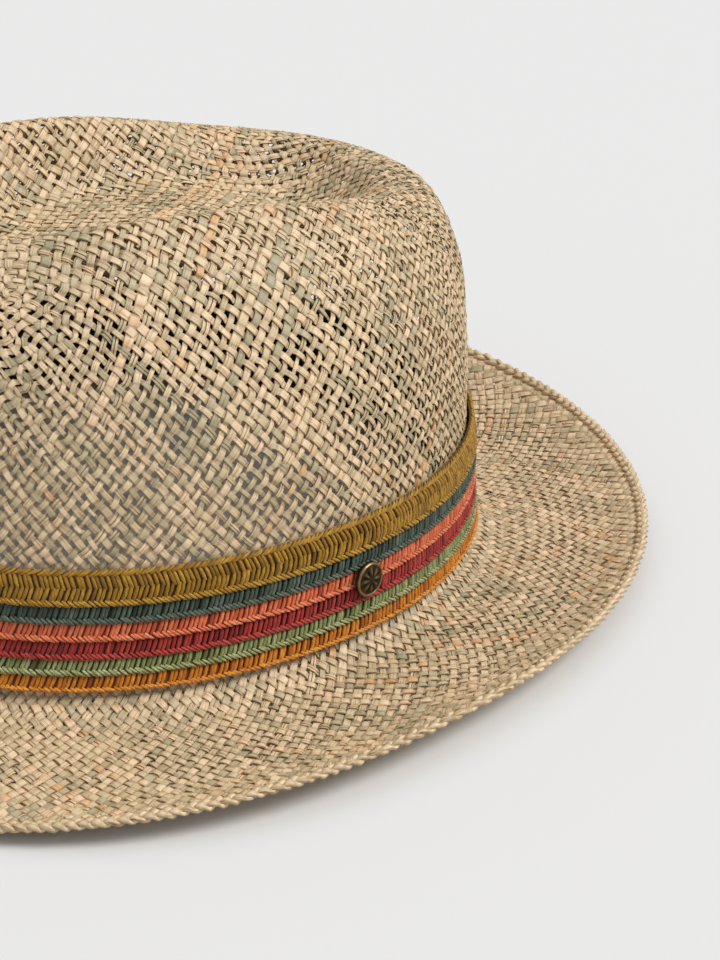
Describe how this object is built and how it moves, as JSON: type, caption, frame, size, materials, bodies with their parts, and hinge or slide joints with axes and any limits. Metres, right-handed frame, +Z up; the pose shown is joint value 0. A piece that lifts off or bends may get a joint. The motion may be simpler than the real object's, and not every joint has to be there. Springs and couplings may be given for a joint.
{
  "type": "straw fedora hat",
  "caption": "Woven straw fedora with a pinched teardrop crown, a snap brim with a plaited edge, a band of shingled coloured braids and a small brass stud.",
  "frame": {"origin": "On the floor, under the middle of the hat's bounding box, with the hat resting as it stands by itself.", "axes": "+Z up; -Y to the front of the hat, where the brim turns down; +X to the wearer's left."},
  "size_m": [0.2598, 0.2898, 0.1132],
  "materials": {
    "straw_weave": "dry, slightly glossy flat seagrass strands in beige, greenish grey and pinkish tan",
    "straw_plait": "plaited straw rope, dry and slightly glossy",
    "olive_braid": "matt cotton braid",
    "teal_braid": "matt cotton braid",
    "coral_braid": "matt cotton braid",
    "crimson_braid": "matt cotton braid",
    "green_braid": "matt cotton braid",
    "ochre_braid": "matt cotton braid",
    "dark_cloth": "matt black ribbed cloth",
    "aged_brass": "darkened brass with worn bright relief"
  },
  "bodies": {
    "root": {"crown": "straw_weave", "brim": "straw_weave", "brim_edge": "straw_plait", "band_olive": "olive_braid", "band_teal": "teal_braid", "band_coral": "coral_braid", "band_crimson": "crimson_braid", "band_green": "green_braid", "band_ochre": "ochre_braid", "sweatband": "dark_cloth", "badge": "aged_brass"}
  },
  "joints": []
}
